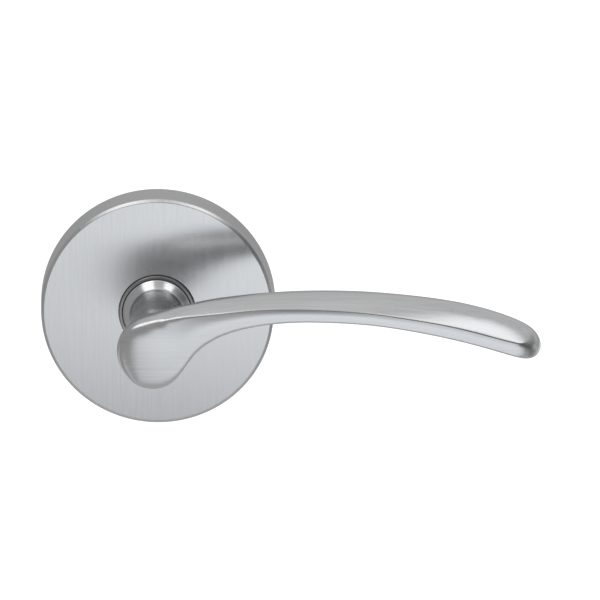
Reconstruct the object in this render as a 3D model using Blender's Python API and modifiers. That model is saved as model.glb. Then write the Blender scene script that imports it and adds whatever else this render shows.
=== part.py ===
"""Lever handle on a sprung round rose: one side of a door lockset, passage function.

Metres, +Z up. The face of the door is the plane Y = 0, the room is on the -Y side,
and the spindle runs along Y through the origin into the door. The lever points to +X.
Depths below are millimetres out from the door face: positive into the room,
negative inside the door. A turned part is a profile of (radius, depth) pairs.
"""
import math

import bmesh
import bpy

MM = 0.001
GAP = 0.3

# rose
ROSE_R = 33.35
ROSE_FACE_R = 32.0
ROSE_DEPTH = 10.3
ROSE_WALL = 1.6
ROSE_BORE_R = 10.9
COLLAR_R = 10.6
COLLAR_BORE_R = 9.9
COLLAR_DEPTH = 11.5

# mounting plate and what is fixed to it
PLATE_R = 30.9
PLATE_RIM_R = 29.1
PLATE_RIM_DEPTH = 6.0
PLATE_T = 2.5
PLATE_BORE_R = 11.2
BUSH_BORE_R = 9.6
SCREW_SPACING = 38.1
SCREW_R = 1.95
SCREW_HEAD_R = 3.9
SCREW_END = -42.0
RIVET_RING_R = 22.5
RIVET_R = 1.2
SPUR_RING_R = 27.9
SPUR_R = 0.9
ROSE_SCREW_R = 1.4
ROSE_SCREW_DEPTH = 4.0

# spring housing inside the door's 54 mm bore
HOUSING_R = 25.4
CUP_R = 16.3
CUP_BORE_R = 15.3
CUP_END = -15.0
CUP_BORE_END = -13.8
SPRING_R = 12.2
SPRING_WIRE_R = 0.8
SPRING_TURNS = 3.25
SPRING_START = -6.7
SPRING_END = -12.6
SPRING_LEG_ANGLE = 150.0

# rotor and its stops
ROTOR_R = 12.0
ROTOR_FRONT = -3.2
ROTOR_BACK = -5.2
ROTOR_HUB_R = 10.6
ROTOR_END = -13.5
ROTOR_SLOT = 2.2
LUG_R = 14.4
LUG_ANGLE = 90.0
LUG_HALF = 12.0
LEVER_TRAVEL = 50.0
STOP_RING_R = 13.5
STOP_R = 0.9

# lever tail, spindle
TAIL_R = 9.3
TAIL_END = -2.9
GROOVE_R = 8.4
SPINDLE = 8.0
SOCKET = 8.6
SOCKET_DEPTH = 30.0
SPINDLE_TIP = 29.5
SPINDLE_END = -62.0
LEVER_SCREW_R = 2.4
LEVER_SCREW_DEPTH = 24.0

# neck of the lever: (depth, radius)
NECK = [
    (10.7, 9.55),
    (11.5, 9.55),
    (11.9, 9.35),
    (12.7, 8.5),
    (13.4, 7.75),
    (14.2, 7.42),
    (16.5, 7.4),
    (23.0, 7.5),
    (30.0, 7.6),
    (35.5, 7.8),
]
BULB_R = 10.2
FRONT = 52.5

# blade stations: x, underside, front crease, crown, back edge (heights), back depth
BLADE = [
    (10.8, -0.2, 11.0, 12.7, 10.6, 39.8),
    (15.0, 3.3, 11.3, 13.4, 11.5, 38.8),
    (20.5, 6.2, 12.0, 14.1, 12.4, 38.2),
    (28.5, 8.2, 12.9, 15.1, 13.4, 37.8),
    (38.5, 9.3, 13.1, 15.9, 13.9, 37.6),
    (49.5, 9.1, 12.7, 16.1, 13.7, 37.6),
    (60.5, 8.4, 11.8, 15.7, 13.1, 37.8),
    (71.5, 6.6, 10.1, 14.7, 11.8, 38.2),
    (82.0, 4.4, 8.2, 13.4, 10.0, 38.8),
    (91.0, 2.0, 5.8, 11.4, 7.8, 39.8),
    (98.5, -0.4, 3.6, 9.0, 5.4, 41.2),
    (104.6, -2.0, 2.5, 6.3, 3.2, 42.8),
]


def start():
    """Empty the scene and make the two collections."""
    for ob in list(bpy.data.objects):
        bpy.data.objects.remove(ob)
    names = ("lever_rose_trim", "cutters")
    made = [bpy.data.collections.new(name) for name in names]
    for col in made:
        bpy.context.scene.collection.children.link(col)
    return made


PARTS, CUTTERS = start()


def material(name, color, metallic, roughness):
    mat = bpy.data.materials.new(name)
    mat.use_nodes = True
    shader = mat.node_tree.nodes["Principled BSDF"]
    shader.inputs["Base Color"].default_value = (*color, 1.0)
    shader.inputs["Metallic"].default_value = metallic
    shader.inputs["Roughness"].default_value = roughness
    return mat


SATIN = material("satin_chrome", (0.70, 0.71, 0.73), 1.0, 0.32)
ZINC = material("zinc_steel", (0.56, 0.57, 0.58), 1.0, 0.42)
SPRING = material("spring_steel", (0.30, 0.30, 0.32), 1.0, 0.35)
NYLON = material("nylon", (0.08, 0.08, 0.085), 0.0, 0.5)
CAST = material("cast_zinc", (0.48, 0.49, 0.50), 1.0, 0.55)


def add(name, mesh, mat=None):
    """Put a mesh in the scene: a part if it has a material, otherwise a cutter."""
    ob = bpy.data.objects.new(name, mesh)
    if mat is None:
        CUTTERS.objects.link(ob)
        ob.hide_render = True
        ob.display_type = "WIRE"
    else:
        PARTS.objects.link(ob)
        mesh.materials.append(mat)
    return ob


def place(ob, x, depth, z):
    ob.location = (x * MM, -depth * MM, z * MM)


def smooth(mesh, degrees):
    mesh.shade_smooth()
    mesh.set_sharp_from_angle(angle=math.radians(degrees))


def turned(name, profile, mat=None, steps=48):
    """Revolve a closed (radius, depth) outline about the Y axis."""
    shifted = profile[1:] + profile[:1]
    area = sum(a[0] * b[1] - b[0] * a[1] for a, b in zip(profile, shifted))
    if area > 0:
        profile = profile[::-1]
    mesh = bpy.data.meshes.new(name)
    verts = [(r * MM, 0.0, d * MM) for r, d in profile]
    edges = [(i, (i + 1) % len(verts)) for i in range(len(verts))]
    axis = [i for i, (r, d) in enumerate(profile) if r == 0]
    if axis:
        edges = [e for e in edges if not set(e) <= set(axis)]
    mesh.from_pydata(verts, edges, [])
    ob = add(name, mesh, mat)
    ob.rotation_euler.x = math.radians(90)
    screw = ob.modifiers.new("revolve", "SCREW")
    screw.axis = "Z"
    screw.steps = steps
    screw.render_steps = steps
    screw.use_merge_vertices = True
    screw.merge_threshold = 0.00001
    screw.use_smooth_shade = True
    return ob


def cylinder(name, radius, length, sides, mat=None):
    """A cylinder centred on its own origin, along Y."""
    mesh = bpy.data.meshes.new(name)
    bm = bmesh.new()
    bmesh.ops.create_cone(
        bm,
        cap_ends=True,
        segments=sides,
        radius1=radius * MM,
        radius2=radius * MM,
        depth=length * MM,
    )
    bm.to_mesh(mesh)
    bm.free()
    smooth(mesh, 35)
    ob = add(name, mesh, mat)
    ob.rotation_euler.x = math.radians(90)
    return ob


def box(name, x, depth, z, mat=None):
    mesh = bpy.data.meshes.new(name)
    bm = bmesh.new()
    bmesh.ops.create_cube(bm, size=1.0)
    bmesh.ops.scale(bm, vec=(x * MM, depth * MM, z * MM), verts=bm.verts)
    bm.to_mesh(mesh)
    bm.free()
    return add(name, mesh, mat)


def boolean(ob, other, operation="DIFFERENCE"):
    mod = ob.modifiers.new(other.name, "BOOLEAN")
    mod.operation = operation
    mod.solver = "EXACT"
    mod.object = other


def polar(radius, degrees):
    angle = math.radians(degrees)
    return radius * math.cos(angle), radius * math.sin(angle)


def hole(target, name, radius, x, z, front, back):
    """Cut a round hole along Y through one or more parts."""
    cut = cylinder(name, radius, front - back, 16)
    place(cut, x, (front + back) / 2, z)
    for ob in target:
        boolean(ob, cut)


def ring_of_neck(depth, radius):
    """Twelve cage points of the neck, set out so the smooth surface has this radius."""
    out = radius / (2 / 3 + math.cos(math.radians(30)) / 3)
    return [(*polar(out, 15 + 30 * k), depth) for k in range(12)]


def blade_rows():
    """Cage of the bulb and blade: for each station four rows at three depths."""
    b = BULB_R / 0.955
    c = b * math.cos(math.radians(45))
    s = b * math.sin(math.radians(15))
    t = b * math.cos(math.radians(15))
    front = [
        [(-c, -c), (-t, -s), (-t, s), (-c, c)],
        [(-s, -t), (-3.2, -3.2), (-3.2, 2.8), (-s, t * 0.93)],
        [(s, -t), (3.2, -3.0), (3.2, 3.6), (s, 9.7)],
        [(7.1, -6.8), (7.4, -1.2), (7.4, 4.8), (7.0, 10.5)],
    ]
    middle = [[p[0], p[3]] for p in front]
    middle[1] = [(-s, -t), (-s, t * 0.97)]
    middle[2] = [(s, -t), (s, 11.7)]
    middle[3] = [(7.0, -6.9), (6.8, 13.3)]
    rows = []
    for x, low, crease, crown, back, depth in BLADE:
        third = (crease - low) / 3
        z = [low, low + third, crease - third, crease]
        front.append([(x, v) for v in z])
        middle.append([(x, low - 1.0), (x, crown * 1.5 - (crease + back) / 4)])
        rows.append((x, low + 0.8, back, depth))
    return front, middle, rows


def lever_cage():
    """Quads for the neck, bulb and blade, to be smoothed by subdivision."""
    front, middle, rows = blade_rows()
    verts = []
    faces = []

    def put(x, z, depth):
        verts.append((x * MM, -depth * MM, z * MM))
        return len(verts) - 1

    grid = []
    for i, column in enumerate(front):
        grid.append([put(x, z, FRONT) for x, z in column])
    mid = []
    for i, (low, high) in enumerate(middle):
        depth = 46.5 if i < 4 else 45.5
        mid.append([put(low[0], low[1], depth), put(high[0], high[1], depth)])
    neck = ring_of_neck(41.0, 8.7)
    neck[1] = (7.0, 9.8, 41.0)
    neck[2] = (2.4, 9.1, 41.0)
    block = [put(x, z, d) for x, z, d in neck]
    back = [
        [block[7], block[6], block[5], block[4]],
        [block[8], None, None, block[3]],
        [block[9], None, None, block[2]],
        [block[10], block[11], block[0], block[1]],
    ]
    for x, low, high, depth in rows:
        third = (high - low) / 3
        z = [low, low + third, high - third, high]
        back.append([put(x, v, depth) for v in z])
    left = [put(-10.5, -2.75, 46.5), put(-10.5, 2.75, 46.5)]
    tip_mid = [put(108.2, -0.6, 46.5), put(108.2, 3.4, 46.5)]

    last = len(front) - 1
    for i in range(last):
        for j in range(3):
            faces.append((grid[i][j], grid[i + 1][j], grid[i + 1][j + 1], grid[i][j + 1]))
            if i > 2:
                faces.append((back[i][j], back[i][j + 1], back[i + 1][j + 1], back[i + 1][j]))
        faces.append((grid[i][3], grid[i + 1][3], mid[i + 1][1], mid[i][1]))
        faces.append((mid[i][1], mid[i + 1][1], back[i + 1][3], back[i][3]))
        faces.append((mid[i][0], mid[i + 1][0], grid[i + 1][0], grid[i][0]))
        faces.append((back[i][0], back[i + 1][0], mid[i + 1][0], mid[i][0]))
    for i, extra in ((0, left), (last, tip_mid)):
        column = [mid[i][0], extra[0], extra[1], mid[i][1]]
        for j in range(3):
            a = (grid[i][j], grid[i][j + 1], column[j + 1], column[j])
            b = (column[j], column[j + 1], back[i][j + 1], back[i][j])
            faces.append(a if i == 0 else a[::-1])
            faces.append(b if i == 0 else b[::-1])

    ring = block
    for depth, radius in reversed(NECK):
        nxt = [put(x, z, d) for x, z, d in ring_of_neck(depth, radius)]
        for k in range(12):
            faces.append((ring[k], nxt[k], nxt[(k + 1) % 12], ring[(k + 1) % 12]))
        ring = nxt
    faces.append(tuple(reversed(ring)))
    sharp = {}
    for i in range(3, last):
        sharp[(grid[i][3], grid[i + 1][3])] = 0.6
    sharp[(grid[2][3], grid[3][3])] = 0.45
    sharp[(grid[1][3], grid[2][3])] = 0.2
    for i in range(last):
        sharp[(grid[i][0], grid[i + 1][0])] = 0.4
    for k in range(12):
        sharp[(ring[k], ring[(k + 1) % 12])] = 1.0
    return verts, faces, sharp


def lever():
    """The lever: one smooth casting from the neck to the tip, with a turned tail."""
    verts, faces, sharp = lever_cage()
    mesh = bpy.data.meshes.new("lever_handle")
    mesh.from_pydata(verts, [], faces)
    crease = mesh.attributes.new("crease_edge", "FLOAT", "EDGE")
    keys = {frozenset(k): v for k, v in sharp.items()}
    for edge in mesh.edges:
        crease.data[edge.index].value = keys.get(frozenset(edge.vertices), 0.0)
    mesh.shade_smooth()
    ob = add("lever_handle", mesh, SATIN)
    sub = ob.modifiers.new("smooth", "SUBSURF")
    sub.levels = 1
    sub.render_levels = 1
    tail = turned(
        "tail",
        [
            (0.0, 12.0),
            (TAIL_R, 12.0),
            (TAIL_R, -0.9),
            (GROOVE_R, -0.9),
            (GROOVE_R, -2.4),
            (TAIL_R, -2.4),
            (TAIL_R, TAIL_END + 0.2),
            (TAIL_R - 0.2, TAIL_END),
            (0.0, TAIL_END),
        ],
        steps=36,
    )
    boolean(ob, tail, "UNION")
    socket = box("socket", SOCKET, SOCKET_DEPTH + 10, SOCKET)
    place(socket, 0, SOCKET_DEPTH / 2 - 5, 0)
    boolean(ob, socket)
    thread = cylinder("lever_screw_hole", LEVER_SCREW_R + GAP, 8.0, 20)
    thread.rotation_euler.x = 0
    place(thread, 0, LEVER_SCREW_DEPTH, -8.0)
    boolean(ob, thread)
    return ob


def rose():
    """Cup-shaped cover, its collar and the two washers round the neck."""
    wall = ROSE_R - ROSE_WALL
    inner = ROSE_DEPTH - ROSE_WALL
    cover = turned(
        "rose_cover",
        [
            (ROSE_R, 0.0),
            (ROSE_R - 0.5, ROSE_DEPTH - 0.9),
            (ROSE_FACE_R + 0.55, ROSE_DEPTH - 0.28),
            (ROSE_FACE_R, ROSE_DEPTH),
            (ROSE_BORE_R, ROSE_DEPTH),
            (ROSE_BORE_R, inner),
            (wall - 0.5, inner),
            (wall, 0.0),
        ],
        SATIN,
        72,
    )
    turned(
        "rose_collar",
        [
            (COLLAR_BORE_R, 7.2),
            (13.0, 7.2),
            (13.0, 8.4),
            (COLLAR_R, 8.4),
            (COLLAR_R, COLLAR_DEPTH - 0.2),
            (COLLAR_R - 0.2, COLLAR_DEPTH),
            (COLLAR_BORE_R, COLLAR_DEPTH),
        ],
        SATIN,
        36,
    )
    return cover


def wave_washer():
    """Three-wave washer that takes up the end float between bush and collar."""
    mesh = bpy.data.meshes.new("wave_washer")
    bm = bmesh.new()
    count = 36
    rings = []
    for k in range(count):
        angle = 2 * math.pi * k / count
        mid = 5.6 + 0.85 * math.sin(3 * angle)
        ring = []
        for r, t in ((10.3, -0.25), (12.7, -0.25), (12.7, 0.25), (10.3, 0.25)):
            co = (r * math.cos(angle) * MM, -(mid + t) * MM, r * math.sin(angle) * MM)
            ring.append(bm.verts.new(co))
        rings.append(ring)
    for k in range(count):
        a, b = rings[k], rings[(k + 1) % count]
        for j in range(4):
            bm.faces.new((a[j], b[j], b[(j + 1) % 4], a[(j + 1) % 4]))
    bmesh.ops.recalc_face_normals(bm, faces=bm.faces)
    bm.to_mesh(mesh)
    bm.free()
    smooth(mesh, 40)
    add("wave_washer", mesh, SPRING)


def mounting_plate():
    """Pressed plate that sits on the door under the cover, and its bearing bush."""
    plate = turned(
        "mounting_plate",
        [
            (PLATE_R, 0.0),
            (PLATE_R, PLATE_RIM_DEPTH),
            (PLATE_RIM_R, PLATE_RIM_DEPTH),
            (PLATE_RIM_R, PLATE_T),
            (PLATE_BORE_R, PLATE_T),
            (PLATE_BORE_R, 0.0),
        ],
        ZINC,
    )
    turned(
        "bearing_bush",
        [
            (BUSH_BORE_R, 0.3),
            (PLATE_BORE_R - GAP, 0.3),
            (PLATE_BORE_R - GAP, PLATE_T + GAP),
            (13.2, PLATE_T + GAP),
            (13.2, 4.0),
            (BUSH_BORE_R, 4.0),
        ],
        NYLON,
        36,
    )
    return plate


def spring_housing():
    """Pressed hat that holds the return spring inside the door's bore."""
    housing = turned(
        "spring_housing",
        [
            (HOUSING_R, -GAP),
            (HOUSING_R, -1.5),
            (CUP_R, -1.5),
            (CUP_R, CUP_END),
            (6.3, CUP_END),
            (6.3, CUP_BORE_END),
            (CUP_BORE_R, CUP_BORE_END),
            (CUP_BORE_R, -GAP),
        ],
        ZINC,
    )
    clear = 2 * (SPRING_WIRE_R + GAP)
    slot = box("housing_slot", 4.0, clear, clear)
    x, z = polar(CUP_R - 0.5, spring_far_angle())
    place(slot, x, SPRING_END, z)
    slot.rotation_euler.y = -math.radians(spring_far_angle())
    boolean(housing, slot)
    return housing


def spring_far_angle():
    return SPRING_LEG_ANGLE + 360 * SPRING_TURNS


def spring_path():
    """Centre line of the torsion spring: inner leg, coils, outer leg."""
    points = []
    for radius in (8.6, 10.4, 11.2):
        points.append((*polar(radius, SPRING_LEG_ANGLE), SPRING_START))
    points.append((*polar(11.9, SPRING_LEG_ANGLE + 3), SPRING_START))
    count = round(SPRING_TURNS * 20)
    for k in range(1, count):
        part = k / count
        angle = SPRING_LEG_ANGLE + 8 + (360 * SPRING_TURNS - 16) * part
        depth = SPRING_START + (SPRING_END - SPRING_START) * part
        points.append((*polar(SPRING_R, angle), depth))
    far = spring_far_angle()
    points.append((*polar(12.5, far - 3), SPRING_END))
    for radius in (13.2, 14.2, 16.2):
        points.append((*polar(radius, far), SPRING_END))
    return points


def return_spring():
    curve = bpy.data.curves.new("spring_path", "CURVE")
    curve.dimensions = "3D"
    curve.bevel_depth = SPRING_WIRE_R * MM
    curve.bevel_resolution = 2
    curve.use_fill_caps = True
    points = spring_path()
    spline = curve.splines.new("POLY")
    spline.points.add(len(points) - 1)
    for point, (x, z, depth) in zip(spline.points, points):
        point.co = (x * MM, -depth * MM, z * MM, 1.0)
    ob = bpy.data.objects.new("return_spring", curve)
    PARTS.objects.link(ob)
    curve.materials.append(SPRING)


def drive_rotor():
    """Rotor keyed on the spindle: a lug between the stops and a slotted hub."""
    rotor = turned(
        "drive_rotor",
        [
            (0.0, ROTOR_FRONT),
            (ROTOR_R, ROTOR_FRONT),
            (ROTOR_R, ROTOR_BACK),
            (ROTOR_HUB_R, ROTOR_BACK),
            (ROTOR_HUB_R, ROTOR_END),
            (0.0, ROTOR_END),
        ],
        CAST,
        36,
    )
    lug = bmesh.new()
    outline = [(ROTOR_R - 2, -LUG_HALF), (LUG_R, -LUG_HALF), (LUG_R, 0)]
    outline += [(LUG_R, LUG_HALF), (ROTOR_R - 2, LUG_HALF)]
    low = []
    high = []
    for radius, angle in outline:
        x, z = polar(radius, LUG_ANGLE + angle)
        low.append(lug.verts.new((x * MM, -ROTOR_FRONT * MM, z * MM)))
        high.append(lug.verts.new((x * MM, -ROTOR_BACK * MM, z * MM)))
    lug.faces.new(low)
    lug.faces.new(list(reversed(high)))
    for k in range(5):
        n = (k + 1) % 5
        lug.faces.new((low[n], low[k], high[k], high[n]))
    bmesh.ops.recalc_face_normals(lug, faces=lug.faces)
    mesh = bpy.data.meshes.new("rotor_lug")
    lug.to_mesh(mesh)
    lug.free()
    boolean(rotor, add("rotor_lug", mesh), "UNION")
    square = box("rotor_square", SOCKET, 30.0, SOCKET)
    place(square, 0, -8.0, 0)
    boolean(rotor, square)
    slot = box("rotor_slot", 6.0, 2.6, ROTOR_SLOT)
    x, z = polar(11.0, SPRING_LEG_ANGLE)
    place(slot, x, SPRING_START, z)
    slot.rotation_euler.y = -math.radians(SPRING_LEG_ANGLE)
    boolean(rotor, slot)


def circlip():
    clip = turned(
        "circlip",
        [(8.7, -1.2), (11.6, -1.2), (11.6, -2.1), (8.7, -2.1)],
        SPRING,
        36,
    )
    opening = box("circlip_opening", 6.0, 4.0, 8.0)
    place(opening, 0, -1.6, -11.0)
    boolean(clip, opening)
    turned(
        "thrust_washer",
        [(9.6, -0.3), (12.2, -0.3), (12.2, -0.9), (9.6, -0.9)],
        ZINC,
        36,
    )


def spindle():
    length = SPINDLE_TIP - SPINDLE_END
    bar = box("spindle", SPINDLE, length, SPINDLE, ZINC)
    place(bar, 0, (SPINDLE_TIP + SPINDLE_END) / 2, 0)
    bevel = bar.modifiers.new("bevel", "BEVEL")
    bevel.width = 0.0004
    bevel.segments = 1


def fixing_screws(plate, housing):
    """Two countersunk machine screws that pull the plate onto the door."""
    half = SCREW_SPACING / 2
    for name, x in (("left", -half), ("right", half)):
        sink = turned(
            "sink_" + name,
            [
                (0.0, PLATE_T + 1.0),
                (SCREW_HEAD_R + 0.4 + 1.0, PLATE_T + 1.0),
                (SCREW_R + 0.35, PLATE_T - 1.95),
                (SCREW_R + 0.35, -4.0),
                (0.0, -4.0),
            ],
            steps=24,
        )
        sink.location.x = x * MM
        boolean(plate, sink)
        boolean(housing, sink)
        screw = turned(
            "fixing_screw_" + name,
            [
                (0.0, PLATE_T - 0.1),
                (SCREW_HEAD_R, PLATE_T - 0.1),
                (SCREW_HEAD_R, PLATE_T - 0.35),
                (SCREW_R, PLATE_T - 2.2),
                (SCREW_R, SCREW_END + 0.8),
                (SCREW_R - 0.6, SCREW_END),
                (0.0, SCREW_END),
            ],
            ZINC,
            24,
        )
        screw.location.x = x * MM
        for turn in (0, 90):
            slot = box(f"recess_{name}_{turn}", 4.2, 2.4, 0.9)
            slot.rotation_euler.y = math.radians(turn)
            place(slot, x, PLATE_T, 0)
            boolean(screw, slot)


def rivets(plate, housing):
    for k in range(4):
        x, z = polar(RIVET_RING_R, 45 + 90 * k)
        hole([plate, housing], f"rivet_hole_{k}", RIVET_R + GAP, x, z, 6.0, -4.0)
        ob = turned(
            f"rivet_{k + 1}",
            [
                (0.0, 3.7),
                (1.3, 3.5),
                (2.2, 2.8),
                (RIVET_R, 2.8),
                (RIVET_R, -1.8),
                (2.1, -1.8),
                (2.1, -2.2),
                (1.4, -2.6),
                (0.0, -2.6),
            ],
            ZINC,
            12,
        )
        ob.location = (x * MM, 0.0, z * MM)


def spurs_and_stops(plate):
    """Two spikes that bite the door, and the two pins the rotor's lug stops on."""
    for name, z in (("upper", SPUR_RING_R), ("lower", -SPUR_RING_R)):
        hole([plate], "spur_hole_" + name, SPUR_R + GAP, 0, z, 4.0, -2.0)
        spur = turned(
            "door_spur_" + name,
            [(0.0, 2.4), (SPUR_R, 2.4), (SPUR_R, -1.2), (0.0, -3.4)],
            ZINC,
            16,
        )
        spur.location.z = z * MM
    reach = LUG_HALF + math.degrees((STOP_R + GAP) / STOP_RING_R)
    places = (("rest", LUG_ANGLE + reach), ("turned", LUG_ANGLE - LEVER_TRAVEL - reach))
    for name, angle in places:
        x, z = polar(STOP_RING_R, angle)
        hole([plate], "stop_hole_" + name, STOP_R + GAP, x, z, 4.0, -2.0)
        pin = turned(
            "stop_pin_" + name,
            [(0.0, 2.3), (STOP_R, 2.3), (STOP_R, -5.4), (STOP_R - 0.2, -5.6), (0.0, -5.6)],
            ZINC,
            16,
        )
        pin.location = (x * MM, 0.0, z * MM)


def set_screws(cover, plate):
    """Set screws: one up into the lever's neck, one in the bottom of the rose."""
    cut = cylinder("rose_screw_hole", ROSE_SCREW_R + GAP, 12.0, 16)
    cut.rotation_euler.x = 0
    place(cut, 0, ROSE_SCREW_DEPTH, -32.0)
    boolean(cover, cut)
    boolean(plate, cut)
    rows = (
        ("rose_set_screw", ROSE_SCREW_R, ROSE_SCREW_DEPTH, -33.0, -29.5),
        ("lever_set_screw", LEVER_SCREW_R, LEVER_SCREW_DEPTH, -7.2, -4.3),
    )
    for name, radius, depth, low, high in rows:
        ob = cylinder(name, radius, high - low, 20, ZINC)
        ob.rotation_euler.x = 0
        place(ob, 0, depth, (low + high) / 2)
        key = cylinder(name + "_hex", radius * 0.55, 3.0, 6)
        key.rotation_euler.x = 0
        place(key, 0, depth, low)
        boolean(ob, key)


def build():
    cover = rose()
    plate = mounting_plate()
    housing = spring_housing()
    wave_washer()
    return_spring()
    drive_rotor()
    circlip()
    spindle()
    fixing_screws(plate, housing)
    rivets(plate, housing)
    spurs_and_stops(plate)
    set_screws(cover, plate)
    lever()


build()
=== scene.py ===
"""Looks of the lever handle on its round rose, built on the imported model's frame.

Metres, +Z up. The door's face is Y = 0, the room is at -Y and the lever points to +X.
Depths are millimetres out from the door's face: positive into the room, negative
inside the door. A turned piece is an outline of (radius, depth) corners.
"""

import math

import bmesh
import bpy
from mathutils import Matrix, Vector


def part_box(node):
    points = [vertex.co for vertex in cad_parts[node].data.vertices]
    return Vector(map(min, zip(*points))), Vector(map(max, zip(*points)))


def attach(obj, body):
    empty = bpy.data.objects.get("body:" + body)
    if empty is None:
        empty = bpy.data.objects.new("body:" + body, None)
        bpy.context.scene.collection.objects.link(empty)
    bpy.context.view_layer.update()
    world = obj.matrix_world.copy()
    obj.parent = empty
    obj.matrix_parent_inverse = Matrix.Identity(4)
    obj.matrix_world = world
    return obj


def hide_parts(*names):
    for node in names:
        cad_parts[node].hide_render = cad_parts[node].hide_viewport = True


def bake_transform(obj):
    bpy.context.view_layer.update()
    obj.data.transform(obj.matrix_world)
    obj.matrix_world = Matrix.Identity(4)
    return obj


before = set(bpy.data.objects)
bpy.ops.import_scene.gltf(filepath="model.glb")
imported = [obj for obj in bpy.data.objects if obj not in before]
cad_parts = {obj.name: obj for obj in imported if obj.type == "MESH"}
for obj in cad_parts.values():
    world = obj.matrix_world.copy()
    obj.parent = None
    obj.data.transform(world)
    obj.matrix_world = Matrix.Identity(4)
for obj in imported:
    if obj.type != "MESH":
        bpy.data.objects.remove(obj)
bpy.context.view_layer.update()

SCENE = bpy.context.scene
MM = 0.001
# clearance of the spring's leg and the rotor's lug
GAP = 0.3
# points nearer than this are joined
WELD = 0.003
# a fillet's neighbours stand this many radii away from its ends
EASE = 0.35
# a small turn that keeps a round cutter's corners off the corners of what it cuts
OFF_GRID = math.radians(3)

# lever: neck as (depth, radius), then the bulb's radius and the front face's depth
NECK = [
    (10.7, 9.85),
    (11.4, 9.85),
    (11.75, 9.6),
    (12.6, 8.6),
    (13.3, 7.77),
    (13.9, 7.42),
    (15.5, 7.4),
    (18.5, 7.4),
    (23.0, 7.5),
    (30.0, 7.6),
    (35.5, 7.8),
]
BULB_R = 10.2
FRONT = 52.5
# how far cage points lie behind the front face: three columns of the bulb from the bottom
# row up, then the crease from the bulb to the tip (the last value goes on to the tip)
BULB_DROP = [(0.4, 0.5, 0.5, 0.5), (0.17, 0.0, 0.0, 0.35), (0.1, 0.0, 0.0, 0.45)]
CREASE_DROP = [0.55, 0.45, 0.38, 0.3, 0.25, 0.21, 0.17, 0.12, 0.1]
# blade stations: x, underside, front crease, crown, back edge (heights), back depth
BLADE = [
    (10.8, -0.2, 11.0, 12.9, 10.8, 39.8),
    (15.0, 3.3, 11.3, 13.7, 11.8, 38.8),
    (20.5, 6.2, 12.0, 14.3, 12.6, 38.2),
    (28.5, 8.2, 12.9, 15.2, 13.5, 37.8),
    (38.5, 9.3, 13.1, 15.9, 13.9, 37.6),
    (49.5, 9.1, 12.7, 16.1, 13.7, 37.6),
    (60.5, 8.4, 11.8, 15.7, 13.1, 37.8),
    (71.5, 6.6, 10.1, 14.7, 11.8, 38.2),
    (82.0, 4.4, 8.2, 13.4, 10.0, 38.8),
    (91.0, 2.0, 5.8, 11.4, 7.8, 39.8),
    (98.5, -0.4, 3.6, 9.0, 5.4, 41.2),
    (104.6, -2.0, 2.5, 6.3, 3.2, 42.8),
]

# return spring: mean and wire radius, turns, first and last depth, angle of the inner leg
SPRING_R = 12.2
WIRE_R = 0.8
TURNS = 3.25
SPRING_START = -6.7
SPRING_END = -12.6
LEG_ANGLE = 150.0


# materials


def node(tree, kind, inputs=None, **settings):
    """A node with its settings, and its inputs given as values or as sockets to link."""
    made = tree.nodes.new(kind)
    for key, value in settings.items():
        setattr(made, key, value)
    for key, value in (inputs or {}).items():
        if isinstance(value, bpy.types.NodeSocket):
            tree.links.new(value, made.inputs[key])
        else:
            made.inputs[key].default_value = value
    return made


def noise(tree, where, stretch, detail):
    """Noise whose scale per metre is given on each axis."""
    scaled = node(tree, "ShaderNodeMapping", {"Vector": where, "Scale": stretch})
    made = node(
        tree,
        "ShaderNodeTexNoise",
        {"Vector": scaled.outputs["Vector"], "Scale": 1.0, "Detail": detail},
    )
    return made.outputs["Fac"]


def ranged(tree, value, low, high, to_low, to_high, smooth=False):
    """A value carried from one range to another and held at its ends."""
    made = node(
        tree,
        "ShaderNodeMapRange",
        {
            "Value": value,
            "From Min": low,
            "From Max": high,
            "To Min": to_low,
            "To Max": to_high,
        },
        interpolation_type="SMOOTHSTEP" if smooth else "LINEAR",
    )
    return made.outputs["Result"]


def summed(tree, a, b, operation="ADD"):
    """The sum of two values, or another operation on them."""
    made = node(tree, "ShaderNodeMath", {0: a, 1: b}, operation=operation)
    return made.outputs[0]


def tones(tree, factor, dark, light):
    """A colour between two tones."""
    made = node(tree, "ShaderNodeMix", {"Factor": factor}, data_type="RGBA")
    made.inputs[6].default_value = (*dark, 1.0)
    made.inputs[7].default_value = (*light, 1.0)
    return made.outputs[2]


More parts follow.
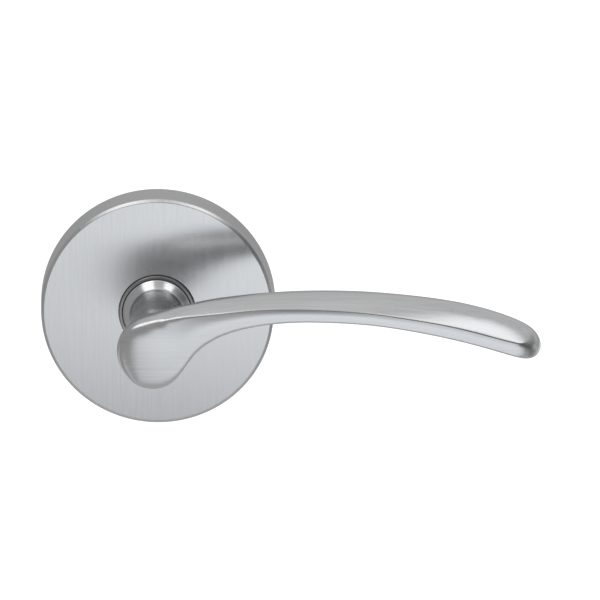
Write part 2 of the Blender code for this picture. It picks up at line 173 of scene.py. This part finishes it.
def surface(
    name,
    dark,
    light,
    rough,
    grain,
    bump,
    cloud=45.0,
    metallic=1.0,
    polish=None,
    brushed=0.0,
):
    """A finish with a fine grain and slow clouding, between a dark and a light tone.

    rough is the range of roughness and bump the grain's strength. grain and cloud are
    scales per metre. polish is (depth from, depth to, change of roughness) of a smoother
    zone near the door. brushed is how much wider the surface scatters across upright
    brush lines than along them.
    """
    mat = bpy.data.materials.new(name)
    mat.use_nodes = True
    tree = mat.node_tree
    shader = tree.nodes["Principled BSDF"]
    shader.inputs["Metallic"].default_value = metallic
    if brushed:
        shader.inputs["Anisotropic"].default_value = brushed
        across = node(tree, "ShaderNodeCombineXYZ", {"X": 1.0})
        tree.links.new(across.outputs["Vector"], shader.inputs["Tangent"])
    where = node(tree, "ShaderNodeTexCoord").outputs["Object"]
    lines = noise(tree, where, grain, 4.0)
    clouds = noise(tree, where, (cloud, cloud, cloud), 2.0)
    fine = summed(tree, lines, 0.6, "MULTIPLY")
    mixed = summed(tree, fine, summed(tree, clouds, 0.4, "MULTIPLY"))
    spread = ranged(tree, mixed, 0.35, 0.65, 0.0, 1.0)
    tree.links.new(tones(tree, spread, dark, light), shader.inputs["Base Color"])
    roughness = ranged(tree, mixed, 0.35, 0.65, rough[0], rough[1])
    if polish:
        split = node(tree, "ShaderNodeSeparateXYZ", {"Vector": where})
        depth = split.outputs["Y"]
        change = ranged(tree, depth, -polish[1] * MM, -polish[0] * MM, 0.0, polish[2], True)
        roughness = summed(tree, roughness, change)
    tree.links.new(roughness, shader.inputs["Roughness"])
    raised = node(
        tree,
        "ShaderNodeBump",
        {"Height": lines, "Strength": bump, "Distance": 0.0001},
    )
    tree.links.new(raised.outputs["Normal"], shader.inputs["Normal"])
    return mat


ROSE_SATIN = surface(
    "rose_satin_chrome",
    (0.618, 0.623, 0.631),
    (0.692, 0.697, 0.705),
    (0.22, 0.26),
    (1300.0, 1300.0, 90.0),
    0.17,
    brushed=0.92,
)
LEVER_SATIN = surface(
    "lever_satin_chrome",
    (0.61, 0.615, 0.623),
    (0.69, 0.695, 0.703),
    (0.24, 0.28),
    (35.0, 1300.0, 1300.0),
    0.10,
    polish=(13.3, 15.0, -0.07),
)
# the collar's satin chrome is a darker copy of the rose's: painted shade for the shaded
# recess at the rose's centre
COLLAR_SATIN_PAINTED_SHADE = surface(
    "collar_satin_chrome_painted_shade",
    (0.32, 0.323, 0.33),
    (0.38, 0.383, 0.39),
    (0.28, 0.36),
    (900.0, 3500.0, 900.0),
    0.04,
)
ZINC = surface(
    "zinc_steel",
    (0.50, 0.515, 0.54),
    (0.64, 0.65, 0.66),
    (0.30, 0.42),
    (500.0, 500.0, 500.0),
    0.10,
    cloud=120.0,
)
DRAWN = surface(
    "drawn_steel",
    (0.50, 0.51, 0.53),
    (0.63, 0.64, 0.655),
    (0.26, 0.38),
    (2200.0, 50.0, 2200.0),
    0.12,
    cloud=80.0,
)
SPRING_STEEL = surface(
    "spring_steel",
    (0.22, 0.22, 0.235),
    (0.34, 0.34, 0.36),
    (0.28, 0.38),
    (900.0, 900.0, 900.0),
    0.08,
)
NYLON = surface(
    "moulded_nylon",
    (0.055, 0.055, 0.06),
    (0.085, 0.085, 0.09),
    (0.42, 0.55),
    (1500.0, 1500.0, 1500.0),
    0.12,
    metallic=0.0,
)
CAST = surface(
    "cast_zinc",
    (0.40, 0.41, 0.42),
    (0.52, 0.53, 0.54),
    (0.48, 0.62),
    (1200.0, 1200.0, 1200.0),
    0.35,
)


# meshes


def add(name, mesh):
    ob = bpy.data.objects.new(name, mesh)
    SCENE.collection.objects.link(ob)
    return ob


def place(ob, x, depth, z):
    ob.location = (x * MM, -depth * MM, z * MM)


def polar(radius, degrees):
    angle = math.radians(degrees)
    return radius * math.cos(angle), radius * math.sin(angle)


def rounded(corners, steps):
    """Turn (radius, depth, fillet) corners into points, with the fillets as arcs."""
    out = []
    for i, corner in enumerate(corners):
        here = Vector(corner[:2])
        if len(corner) == 2:
            out.append(tuple(here))
            continue
        a = (Vector(corners[i - 1][:2]) - here).normalized()
        b = (Vector(corners[(i + 1) % len(corners)][:2]) - here).normalized()
        half = a.angle(b) / 2
        reach = corner[2] / math.tan(half)
        centre = here + (a + b).normalized() * corner[2] / math.sin(half)
        first = here + a * reach - centre
        last = here + b * reach - centre
        turn = math.atan2(first.cross(last), first.dot(last))
        start = math.atan2(first.y, first.x)
        ease = EASE * corner[2]
        out.append(tuple(here + a * (reach + ease)))
        for k in range(steps + 1):
            x, y = polar(corner[2], math.degrees(start + turn * k / steps))
            out.append((centre.x + x, centre.y + y))
        out.append(tuple(here + b * (reach + ease)))
    return out


def turned(name, outline, steps=96):
    """Revolve a closed (radius, depth) outline about the Y axis."""
    shifted = outline[1:] + outline[:1]
    area = sum(a[0] * b[1] - b[0] * a[1] for a, b in zip(outline, shifted))
    if area > 0:
        outline = outline[::-1]
    mesh = bpy.data.meshes.new(name)
    bm = bmesh.new()
    rings = []
    for r, d in outline:
        if r == 0:
            rings.append([bm.verts.new((0.0, -d * MM, 0.0))] * steps)
            continue
        ring = []
        for k in range(steps):
            x, z = polar(r, 360 * k / steps)
            ring.append(bm.verts.new((x * MM, -d * MM, z * MM)))
        rings.append(ring)
    for i, a in enumerate(rings):
        b = rings[(i + 1) % len(rings)]
        if outline[i][0] == 0 and outline[(i + 1) % len(outline)][0] == 0:
            continue
        for k in range(steps):
            n = (k + 1) % steps
            corners = list(dict.fromkeys((a[k], b[k], b[n], a[n])))
            bm.faces.new(corners)
    bmesh.ops.recalc_face_normals(bm, faces=bm.faces)
    bm.to_mesh(mesh)
    bm.free()
    return add(name, mesh)


def box(name, x, depth, z):
    mesh = bpy.data.meshes.new(name)
    bm = bmesh.new()
    bmesh.ops.create_cube(bm, size=1.0)
    bmesh.ops.scale(bm, vec=(x * MM, depth * MM, z * MM), verts=bm.verts)
    bm.to_mesh(mesh)
    bm.free()
    return add(name, mesh)


def prism(name, radius, length, sides):
    """A bar of many sides along Z, to cut holes with."""
    mesh = bpy.data.meshes.new(name)
    bm = bmesh.new()
    bmesh.ops.create_cone(
        bm,
        cap_ends=True,
        segments=sides,
        radius1=radius * MM,
        radius2=radius * MM,
        depth=length * MM,
    )
    bm.to_mesh(mesh)
    bm.free()
    return add(name, mesh)


def combine(ob, *others, operation="DIFFERENCE"):
    for other in others:
        mod = ob.modifiers.new(other.name, "BOOLEAN")
        mod.operation = operation
        mod.solver = "EXACT"
        mod.object = other


def weld(mesh):
    """Join points that lie on one another, so that the mesh is closed."""
    bm = bmesh.new()
    bm.from_mesh(mesh)
    bmesh.ops.remove_doubles(bm, verts=bm.verts, dist=WELD * MM)
    bmesh.ops.dissolve_degenerate(bm, edges=bm.edges, dist=WELD * MM)
    bm.to_mesh(mesh)
    bm.free()


def finished(ob, mat, body, nodes, sharp=35.0, remove=()):
    """Apply the modifiers, drop the cutters, and set finish, body and CAD node."""
    bpy.context.view_layer.update()
    graph = bpy.context.evaluated_depsgraph_get()
    mesh = bpy.data.meshes.new_from_object(ob.evaluated_get(graph))
    mesh.transform(ob.matrix_world)
    mesh.name = ob.name
    weld(mesh)
    ob.modifiers.clear()
    ob.data = mesh
    ob.matrix_world.identity()
    ob.rotation_euler = (0.0, 0.0, 0.0)
    ob.location = (0.0, 0.0, 0.0)
    for other in remove:
        bpy.data.objects.remove(other)
    mesh.materials.clear()
    mesh.materials.append(mat)
    for face in mesh.polygons:
        face.material_index = 0
    mesh.shade_smooth()
    mesh.set_sharp_from_angle(angle=math.radians(sharp))
    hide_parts(*nodes)
    if body:
        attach(ob, body)
    return ob


# lever


def ring_of_neck(depth, radius):
    """Twelve cage points of the neck, set out so the smooth surface has this radius."""
    step = 30
    out = radius / (2 / 3 + math.cos(math.radians(step)) / 3)
    return [(*polar(out, step * (k + 0.5)), depth) for k in range(12)]


def blade_rows():
    """Cage of the bulb and blade: for each station four rows at three depths."""
    b = BULB_R / 0.955
    c = b * math.cos(math.radians(45))
    s = b * math.sin(math.radians(15))
    t = b * math.cos(math.radians(15))
    front = [
        [(-c, -c), (-t, -s), (-t, s), (-c, c)],
        [(-s, -t), (-3.2, -3.2), (-3.2, 2.8), (-s, t * 0.93)],
        [(s, -t), (3.2, -3.0), (3.2, 3.6), (s, 9.7)],
        [(7.1, -6.8), (7.4, -1.2), (7.4, 4.8), (7.0, 10.5)],
    ]
    middle = [[p[0], p[3]] for p in front]
    middle[1] = [(-s, -t), (-s, t * 0.97)]
    middle[2] = [(s, -t), (s, 11.7)]
    middle[3] = [(7.0, -6.9), (6.8, 13.3)]
    rows = []
    for x, low, crease, crown, back, depth in BLADE:
        third = (crease - low) / 3
        z = [low, low + third, crease - third, crease]
        front.append([(x, v) for v in z])
        middle.append([(x, low - 1.0), (x, crown * 1.5 - (crease + back) / 4)])
        rows.append((x, low + 0.8, back, depth))
    return front, middle, rows


def lever_cage():
    """Quads for the neck, bulb and blade, to be smoothed by subdivision."""
    front, middle, rows = blade_rows()
    verts = []
    faces = []

    def put(x, z, depth):
        verts.append((x * MM, -depth * MM, z * MM))
        return len(verts) - 1

    grid = []
    for i, column in enumerate(front):
        if i < len(BULB_DROP):
            drop = BULB_DROP[i]
        else:
            drop = (0.0, 0.0, 0.0, CREASE_DROP[min(i - 3, len(CREASE_DROP) - 1)])
        grid.append([put(x, z, FRONT - d) for (x, z), d in zip(column, drop)])
    mid = []
    for i, (low, high) in enumerate(middle):
        # the ridge on top moves back by 1 mm over four columns of the blade
        depth = 46.5 - 0.25 * min(4, max(0, i - 5))
        mid.append([put(low[0], low[1], depth), put(high[0], high[1], depth)])
    neck = ring_of_neck(41.0, 8.7)
    neck[1] = (7.0, 9.8, 41.0)
    neck[2] = (2.4, 9.1, 41.0)
    block = [put(x, z, d) for x, z, d in neck]
    back = [
        [block[7], block[6], block[5], block[4]],
        [block[8], None, None, block[3]],
        [block[9], None, None, block[2]],
        [block[10], block[11], block[0], block[1]],
    ]
    for x, low, high, depth in rows:
        third = (high - low) / 3
        z = [low, low + third, high - third, high]
        back.append([put(x, v, depth) for v in z])
    left = [put(-10.5, -2.75, 46.5), put(-10.5, 2.75, 46.5)]
    tip_mid = [put(108.2, -0.6, 46.5), put(108.2, 3.4, 46.5)]

    last = len(front) - 1
    for i in range(last):
        for j in range(3):
            faces.append((grid[i][j], grid[i + 1][j], grid[i + 1][j + 1], grid[i][j + 1]))
            if i > 2:
                faces.append((back[i][j], back[i][j + 1], back[i + 1][j + 1], back[i + 1][j]))
        faces.append((grid[i][3], grid[i + 1][3], mid[i + 1][1], mid[i][1]))
        faces.append((mid[i][1], mid[i + 1][1], back[i + 1][3], back[i][3]))
        faces.append((mid[i][0], mid[i + 1][0], grid[i + 1][0], grid[i][0]))
        faces.append((back[i][0], back[i + 1][0], mid[i + 1][0], mid[i][0]))
    for i, extra in ((0, left), (last, tip_mid)):
        column = [mid[i][0], extra[0], extra[1], mid[i][1]]
        for j in range(3):
            a = (grid[i][j], grid[i][j + 1], column[j + 1], column[j])
            b = (column[j], column[j + 1], back[i][j + 1], back[i][j])
            faces.append(a if i == 0 else a[::-1])
            faces.append(b if i == 0 else b[::-1])

    ring = block
    for depth, radius in reversed(NECK):
        nxt = [put(x, z, d) for x, z, d in ring_of_neck(depth, radius)]
        for k in range(12):
            faces.append((ring[k], nxt[k], nxt[(k + 1) % 12], ring[(k + 1) % 12]))
        ring = nxt
    faces.append(tuple(reversed(ring)))
    sharp = {}
    for i in range(3, last):
        sharp[(grid[i][3], grid[i + 1][3])] = 0.6
    sharp[(grid[2][3], grid[3][3])] = 0.5
    sharp[(grid[1][3], grid[2][3])] = 0.3
    for i in range(last):
        sharp[(grid[i][0], grid[i + 1][0])] = 0.4
    for k in range(12):
        sharp[(ring[k], ring[(k + 1) % 12])] = 1.0
    return verts, faces, sharp


def lever():
    """The lever: neck, bulb and blade as one smooth casting, with a turned tail."""
    verts, faces, sharp = lever_cage()
    mesh = bpy.data.meshes.new("lever")
    mesh.from_pydata(verts, [], faces)
    crease = mesh.attributes.new("crease_edge", "FLOAT", "EDGE")
    keys = {frozenset(k): v for k, v in sharp.items()}
    for edge in mesh.edges:
        crease.data[edge.index].value = keys.get(frozenset(edge.vertices), 0.0)
    ob = add("lever", mesh)
    sub = ob.modifiers.new("smooth", "SUBSURF")
    sub.levels = 4
    sub.render_levels = 4
    tail = turned(
        "tail",
        rounded(
            [
                (0.0, 12.0),
                (9.3, 12.0),
                (9.3, -0.9, 0.1),
                (8.4, -0.9),
                (8.4, -2.4),
                (9.3, -2.4, 0.1),
                (9.3, -2.9, 0.2),
                (0.0, -2.9),
            ],
            2,
        ),
    )
    combine(ob, tail, operation="UNION")
    socket = box("socket", 8.6, 40.0, 8.6)
    place(socket, 0, 10.0, 0)
    thread = prism("screw_hole", 2.7, 8.0, 32)
    place(thread, 0, 24.0, -8.0)
    combine(ob, socket, thread)
    finished(
        ob,
        LEVER_SATIN,
        "lever",
        ["lever_handle"],
        55.0,
        (tail, socket, thread),
    )


# rose


def rose():
    cover = turned(
        "rose",
        rounded(
            [
                (33.35, 0.0, 0.06),
                (32.92, 9.6, 0.35),
                (32.1, 10.3, 0.25),
                (10.9, 10.3, 0.15),
                (10.9, 8.7),
                (31.25, 8.7, 0.4),
                (31.75, 0.0),
            ],
            8,
        ),
        240,
    )
    cut = prism("rose_hole", 1.7, 12.0, 24)
    place(cut, 0, 4.0, -32.0)
    combine(cover, cut)
    finished(cover, ROSE_SATIN, "trim", ["rose_cover"], remove=(cut,))
    collar = turned(
        "collar",
        rounded(
            [
                (9.9, 7.2),
                (13.0, 7.2),
                (13.0, 8.4),
                (10.82, 8.4),
                (10.82, 11.5, 0.3),
                (9.9, 11.5, 0.2),
            ],
            4,
        ),
        160,
    )
    finished(collar, COLLAR_SATIN_PAINTED_SHADE, "trim", ["rose_collar"])


# plate, housing and spring behind the rose


def rod(name, radius, x, z, front, back):
    """A round cutter along Y."""
    outline = [(0.0, front), (radius, front), (radius, back), (0.0, back)]
    ob = turned(name, outline, 32)
    ob.location = (x * MM, 0.0, z * MM)
    ob.rotation_euler.y = OFF_GRID
    return ob


def plate_and_housing():
    plate = turned(
        "plate",
        rounded(
            [
                (30.9, 0.0, 0.5),
                (30.9, 6.0, 0.3),
                (29.1, 6.0, 0.3),
                (29.1, 2.5, 0.5),
                (11.2, 2.5, 0.2),
                (11.2, 0.0, 0.2),
            ],
            3,
        ),
        144,
    )
    housing = turned(
        "housing",
        rounded(
            [
                (25.4, -0.3, 0.2),
                (25.4, -1.5, 0.5),
                (16.3, -1.5, 0.5),
                (16.3, -15.0, 1.1),
                (6.3, -15.0, 0.3),
                (6.3, -13.8, 0.2),
                (15.3, -13.8, 0.4),
                (15.3, -0.3, 0.6),
            ],
            4,
        ),
        144,
    )
    cuts = []
    for name, x in (("left", -19.05), ("right", 19.05)):
        outline = [(0.0, 3.5), (5.3, 3.5), (2.3, 0.55), (2.3, -4.0), (0.0, -4.0)]
        sink = turned("sink_" + name, outline, 32)
        sink.location.x = x * MM
        sink.rotation_euler.y = OFF_GRID
        cuts.append(sink)
    for k in range(4):
        x, z = polar(22.5, 45 + 90 * k)
        cuts.append(rod(f"rivet_hole_{k}", 1.5, x, z, 6.0, -4.0))
    combine(plate, *cuts)
    combine(housing, *cuts)
    reach = 12.0 + math.degrees((0.9 + GAP) / 13.5)
    only = []
    for name, ring, angle in (
        ("upper", 27.9, 90.0),
        ("lower", 27.9, 270.0),
        ("rest", 13.5, 90.0 + reach),
        ("turned", 13.5, 40.0 - reach),
    ):
        x, z = polar(ring, angle)
        only.append(rod("hole_" + name, 1.2, x, z, 4.0, -2.0))
    grub_hole = prism("plate_screw_hole", 1.7, 8.0, 24)
    place(grub_hole, 0, 4.0, -33.0)
    grub_hole.rotation_euler.z = OFF_GRID
    only.append(grub_hole)
    combine(plate, *only)
    far = LEG_ANGLE + 360 * TURNS
    slot = box("leg_slot", 4.0, 2 * (WIRE_R + GAP), 2 * (WIRE_R + GAP))
    x, z = polar(15.8, far)
    place(slot, x, SPRING_END, z)
    slot.rotation_euler.y = -math.radians(far)
    combine(housing, slot)
    finished(plate, ZINC, "trim", ["mounting_plate"])
    done = (*cuts, *only, slot)
    finished(housing, ZINC, "trim", ["spring_housing"], remove=done)


def spring_path():
    """Centre line of the torsion spring: inner leg, coils, outer leg."""
    points = []
    for radius in (8.6, 10.4, 11.2):
        points.append((*polar(radius, LEG_ANGLE), SPRING_START))
    points.append((*polar(11.9, LEG_ANGLE + 3), SPRING_START))
    count = round(TURNS * 48)
    for k in range(1, count):
        part = k / count
        angle = LEG_ANGLE + 8 + (360 * TURNS - 16) * part
        depth = SPRING_START + (SPRING_END - SPRING_START) * part
        points.append((*polar(SPRING_R, angle), depth))
    far = LEG_ANGLE + 360 * TURNS
    points.append((*polar(12.5, far - 3), SPRING_END))
    for radius in (13.2, 14.2, 16.2):
        points.append((*polar(radius, far), SPRING_END))
    return points


def return_spring():
    curve = bpy.data.curves.new("spring_path", "CURVE")
    curve.dimensions = "3D"
    curve.bevel_depth = WIRE_R * MM
    curve.bevel_resolution = 3
    curve.use_fill_caps = True
    points = spring_path()
    spline = curve.splines.new("POLY")
    spline.points.add(len(points) - 1)
    for point, (x, z, depth) in zip(spline.points, points):
        point.co = (x * MM, -depth * MM, z * MM, 1.0)
    path = add("spring_path", curve)
    bpy.context.view_layer.update()
    graph = bpy.context.evaluated_depsgraph_get()
    mesh = bpy.data.meshes.new_from_object(path.evaluated_get(graph))
    bpy.data.objects.remove(path)
    ob = add("torsion_spring", mesh)
    finished(ob, SPRING_STEEL, None, ["return_spring"], 50.0)
    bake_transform(ob)


def spindle():
    low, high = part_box("spindle")
    size = (high - low) / MM
    bar = box("square_spindle", size.x, size.y, size.z)
    bar.location = (low + high) / 2
    bevel = bar.modifiers.new("bevel", "BEVEL")
    bevel.width = 0.0005
    bevel.segments = 3
    finished(bar, DRAWN, "lever", ["spindle"])


# screws, rivets and pins


def threaded(name, outline, crest, pitch, steps=32):
    """A turned piece whose straight shank carries a helical thread.

    outline is (radius, depth, threaded) rows from the head down; a threaded row starts
    a stretch of thread that ends at the next row.
    """
    rows = []
    for (r, d, cut), (_, after, _) in zip(outline, outline[1:]):
        rows.append((r, d, cut))
        if cut:
            count = math.ceil((d - after) / pitch * 6)
            for k in range(1, count):
                rows.append((r, d + (after - d) * k / count, True))
    rows.append(outline[-1])
    mesh = bpy.data.meshes.new(name)
    bm = bmesh.new()
    rings = []
    for r, d, cut in rows:
        ring = []
        for k in range(steps):
            radius = r
            if cut:
                part = (d / pitch + k / steps) % 1.0
                radius = r - crest * (1 - abs(2 * part - 1))
            x, z = polar(radius, 360 * k / steps)
            ring.append(bm.verts.new((x * MM, -d * MM, z * MM)))
        rings.append(ring)
    for a, b in zip(rings, rings[1:]):
        for k in range(steps):
            n = (k + 1) % steps
            bm.faces.new((a[k], b[k], b[n], a[n]))
    bm.faces.new(rings[0])
    bm.faces.new(rings[-1])
    bmesh.ops.recalc_face_normals(bm, faces=bm.faces)
    bm.to_mesh(mesh)
    bm.free()
    return add(name, mesh)


def fixing_screws():
    for name, x in (("left", -19.05), ("right", 19.05)):
        screw = threaded(
            "machine_screw_" + name,
            [
                (3.7, 2.4, False),
                (3.9, 2.25, False),
                (3.9, 2.1, False),
                (1.9, 0.3, False),
                (1.9, -1.0, True),
                (1.9, -41.0, False),
                (1.3, -42.0, False),
            ],
            0.3,
            0.7,
        )
        screw.location.x = x * MM
        cuts = []
        for turn in (0, 90):
            slot = box(f"recess_{name}_{turn}", 4.2, 2.4, 0.9)
            slot.rotation_euler.y = math.radians(turn)
            place(slot, x, 2.5, 0)
            cuts.append(slot)
        combine(screw, *cuts)
        nodes = ["fixing_screw_" + name]
        finished(screw, ZINC, "trim", nodes, 30.0, cuts)


def set_screws():
    rows = (
        ("rose_grub", "rose_set_screw", "trim", 1.4, 4.0, -33.0, -29.5),
        ("lever_grub", "lever_set_screw", "lever", 2.4, 24.0, -7.2, -4.3),
    )
    for name, cad, body, radius, depth, low, high in rows:
        length = high - low
        ob = threaded(
            name,
            [
                (radius - 0.3, length / 2, False),
                (radius, length / 2 - 0.3, True),
                (radius, 0.3 - length / 2, False),
                (radius - 0.3, -length / 2, False),
            ],
            0.15,
            0.5,
            24,
        )
        ob.rotation_euler.x = math.radians(90)
        place(ob, 0, depth, (low + high) / 2)
        key = prism(name + "_hex", radius * 0.55, 3.0, 6)
        place(key, 0, depth, low)
        combine(ob, key)
        finished(ob, ZINC, body, [cad], 30.0, (key,))


def rivets_and_spurs():
    for k in range(4):
        x, z = polar(22.5, 45 + 90 * k)
        outline = [
            (0.0, 3.7),
            (0.8, 3.63),
            (1.5, 3.4),
            (2.0, 3.05),
            (2.2, 2.8),
            (1.2, 2.8),
            (1.2, -1.8),
            (2.1, -1.8),
            (2.05, -2.1),
            (1.7, -2.4),
            (1.0, -2.55),
            (0.0, -2.6),
        ]
        ob = turned(f"round_rivet_{k + 1}", outline, 40)
        ob.location = (x * MM, 0.0, z * MM)
        finished(ob, DRAWN, "trim", [f"rivet_{k + 1}"])
    for name, z in (("upper", 27.9), ("lower", -27.9)):
        outline = [(0.0, 2.4), (0.7, 2.4), (0.9, 2.2), (0.9, -1.2), (0.15, -3.3), (0.0, -3.4)]
        ob = turned("spike_" + name, outline, 32)
        ob.location.z = z * MM
        finished(ob, DRAWN, "trim", ["door_spur_" + name], 25.0)


def hidden_nodes():
    """CAD nodes that stay as they are, with a better finish."""
    finishes = {
        "bearing_bush": NYLON,
        "wave_washer": SPRING_STEEL,
        "thrust_washer": DRAWN,
        "circlip": SPRING_STEEL,
        "drive_rotor": CAST,
        "stop_pin_rest": DRAWN,
        "stop_pin_turned": DRAWN,
    }
    for name, mat in finishes.items():
        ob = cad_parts[name]
        for material_slot in ob.material_slots:
            material_slot.material = mat


# studio


def glow(name):
    """A material that only shines, and its tree."""
    mat = bpy.data.materials.new(name)
    mat.use_nodes = True
    tree = mat.node_tree
    tree.nodes.remove(tree.nodes["Principled BSDF"])
    light = tree.nodes.new("ShaderNodeEmission")
    tree.links.new(light.outputs["Emission"], tree.nodes["Material Output"].inputs["Surface"])
    return mat, tree, light


def floor():
    """A pale floor, evenly lit so that it shows as white from every side."""
    reach = 12.0
    height = -0.16
    mesh = bpy.data.meshes.new("floor")
    corners = [(-reach, -reach), (reach, -reach), (reach, reach), (-reach, reach)]
    mesh.from_pydata([(x, y, 0.0) for x, y in corners], [], [(0, 1, 2, 3)])
    ob = add("floor", mesh)
    ob.location.z = height
    mat = bpy.data.materials.new("floor_white")
    mat.use_nodes = True
    shader = mat.node_tree.nodes["Principled BSDF"]
    shader.inputs["Base Color"].default_value = (0.86, 0.86, 0.86, 1.0)
    shader.inputs["Roughness"].default_value = 0.9
    shader.inputs["Specular IOR Level"].default_value = 0.0
    shader.inputs["Emission Color"].default_value = (1.0, 1.0, 1.0, 1.0)
    shader.inputs["Emission Strength"].default_value = 0.3
    mesh.materials.append(mat)
    ob.visible_glossy = False


def sky():
    """A plain white background."""
    world = bpy.data.worlds.new("studio")
    world.use_nodes = True
    back = world.node_tree.nodes["Background"]
    back.inputs["Color"].default_value = (1.0, 1.0, 1.0, 1.0)
    back.inputs["Strength"].default_value = 1.0
    SCENE.world = world


def band(tree, value, low, high, edge):
    """1 between two angles, with soft edges."""
    rise = ranged(tree, value, low - edge, low + edge, 0.0, 1.0, True)
    fall = ranged(tree, value, high - edge, high + edge, 1.0, 0.0, True)
    return summed(tree, rise, fall, "MULTIPLY")


def patch(tree, side, round_, sides, rounds, edge, level):
    """A soft-edged bright or dark area of the tent: side and round angles in degrees."""
    both = summed(
        tree,
        band(tree, side, sides[0], sides[1], edge[0]),
        band(tree, round_, rounds[0], rounds[1], edge[1]),
        "MULTIPLY",
    )
    return summed(tree, both, level, "MULTIPLY")


# tent: its brightness, then side angles and round angles of each area, soft edges and
# change of brightness. The side angle is towards +X; the round angle is 0 in front,
# 90 overhead and 180 behind. KEY is the large bright area that the front faces mirror.
TENT_LEVEL = 0.37
TENT_RADIUS = 0.9
TENT = [
    ((-45.0, 45.0), (-110.0, -24.0), (20.0, 8.0), 0.16),
    ((2.0, 72.0), (-9.0, 55.0), (7.0, 5.0), -0.23),
    ((46.0, 76.0), (-60.0, -9.0), (6.0, 6.0), -0.14),
    ((-25.0, 75.0), (75.0, 155.0), (12.0, 25.0), 0.27),
    ((48.0, 78.0), (62.0, 125.0), (6.0, 8.0), -0.24),
    ((-9.0, 14.0), (55.0, 98.0), (6.0, 8.0), 0.12),
    ((-52.0, -30.0), (-48.0, -30.0), (5.0, 4.0), 0.2),
    ((25.0, 62.0), (185.0, 215.0), (8.0, 8.0), 0.5),
    ((-75.0, 75.0), (212.0, 245.0), (12.0, 9.0), 0.28),
    ((80.0, 100.0), (-180.0, 270.0), (5.0, 5.0), 0.16),
]
KEY = ((-9.0, 24.0), (-19.0, -4.3), (12.0, 3.0), 1.07)
KEY_TINT = (0.965, 1.0, 1.04)


def tent():
    """The light tent that the metal mirrors. The camera and the floor don't see it."""
    mesh = bpy.data.meshes.new("tent")
    bm = bmesh.new()
    bmesh.ops.create_uvsphere(bm, u_segments=96, v_segments=64, radius=TENT_RADIUS)
    bm.to_mesh(mesh)
    bm.free()
    mesh.shade_smooth()
    ob = add("tent", mesh)
    ob.visible_camera = False
    ob.visible_diffuse = False
    ob.visible_shadow = False
    ob.visible_transmission = False
    mat, tree, light = glow("tent_cloth")
    where = node(tree, "ShaderNodeTexCoord").outputs["Object"]
    unit = node(tree, "ShaderNodeVectorMath", {0: where}, operation="NORMALIZE")
    split = node(tree, "ShaderNodeSeparateXYZ", {"Vector": unit.outputs["Vector"]})
    degrees = math.degrees(1)
    side = summed(tree, split.outputs["X"], 0.0, "ARCSINE")
    side = summed(tree, side, degrees, "MULTIPLY")
    front = summed(tree, split.outputs["Y"], -1.0, "MULTIPLY")
    angle = summed(tree, split.outputs["Z"], front, "ARCTAN2")
    angle = summed(tree, angle, degrees, "MULTIPLY")
    wrapped = summed(tree, summed(tree, angle, -110.0, "LESS_THAN"), 360.0, "MULTIPLY")
    angle = summed(tree, angle, wrapped)
    level = TENT_LEVEL
    for sides, rounds, edge, change in TENT:
        level = summed(tree, patch(tree, side, angle, sides, rounds, edge, change), level)
    key = patch(tree, side, angle, *KEY)
    mixed = {}
    for channel, share in zip(("Red", "Green", "Blue"), KEY_TINT):
        mixed[channel] = summed(tree, summed(tree, key, share, "MULTIPLY"), level)
    color = node(tree, "ShaderNodeCombineColor", mixed)
    tree.links.new(color.outputs["Color"], light.inputs["Color"])
    mesh.materials.append(mat)


def lamp(name, where, size, power, color):
    """A soft box that faces the origin: size is (width along X, length)."""
    data = bpy.data.lights.new(name, "AREA")
    data.shape = "RECTANGLE"
    data.size = size[0]
    data.size_y = size[1]
    data.energy = power
    data.color = color
    ob = bpy.data.objects.new(name, data)
    SCENE.collection.objects.link(ob)
    back = Vector(where).normalized()
    across = (Vector((1.0, 0.0, 0.0)) - back * back.x).normalized()
    turn = Matrix((across, back.cross(across), back)).transposed()
    ob.matrix_world = Matrix.Translation(where) @ turn.to_4x4()


def lights():
    lamp("soft_left", (-0.293, -0.23, 0.708), (0.37, 0.46), 0.68, (1.0, 0.985, 0.955))
    lamp("soft_right", (0.345, -0.305, 0.655), (0.29, 0.23), 0.27, (0.975, 0.985, 1.0))


def camera():
    """A long lens in front of the door, looking down at the lever."""
    target = Vector((0.04037, 0.0, 0.0006))
    distance = 1.5
    angle = math.radians(16.13)
    away = Vector((0.0, -math.cos(angle), math.sin(angle)))
    data = bpy.data.cameras.new("camera")
    data.sensor_width = 36.0
    data.lens = 316.08
    data.clip_start = 0.05
    data.clip_end = 60.0
    ob = bpy.data.objects.new("camera", data)
    SCENE.collection.objects.link(ob)
    ob.location = target + distance * away
    ob.rotation_euler = (math.pi / 2 - angle, 0.0, 0.0)
    SCENE.camera = ob
    SCENE.view_settings.view_transform = "Standard"


lever()
rose()
plate_and_housing()
return_spring()
spindle()
fixing_screws()
set_screws()
rivets_and_spurs()
hidden_nodes()
floor()
sky()
tent()
lights()
camera()
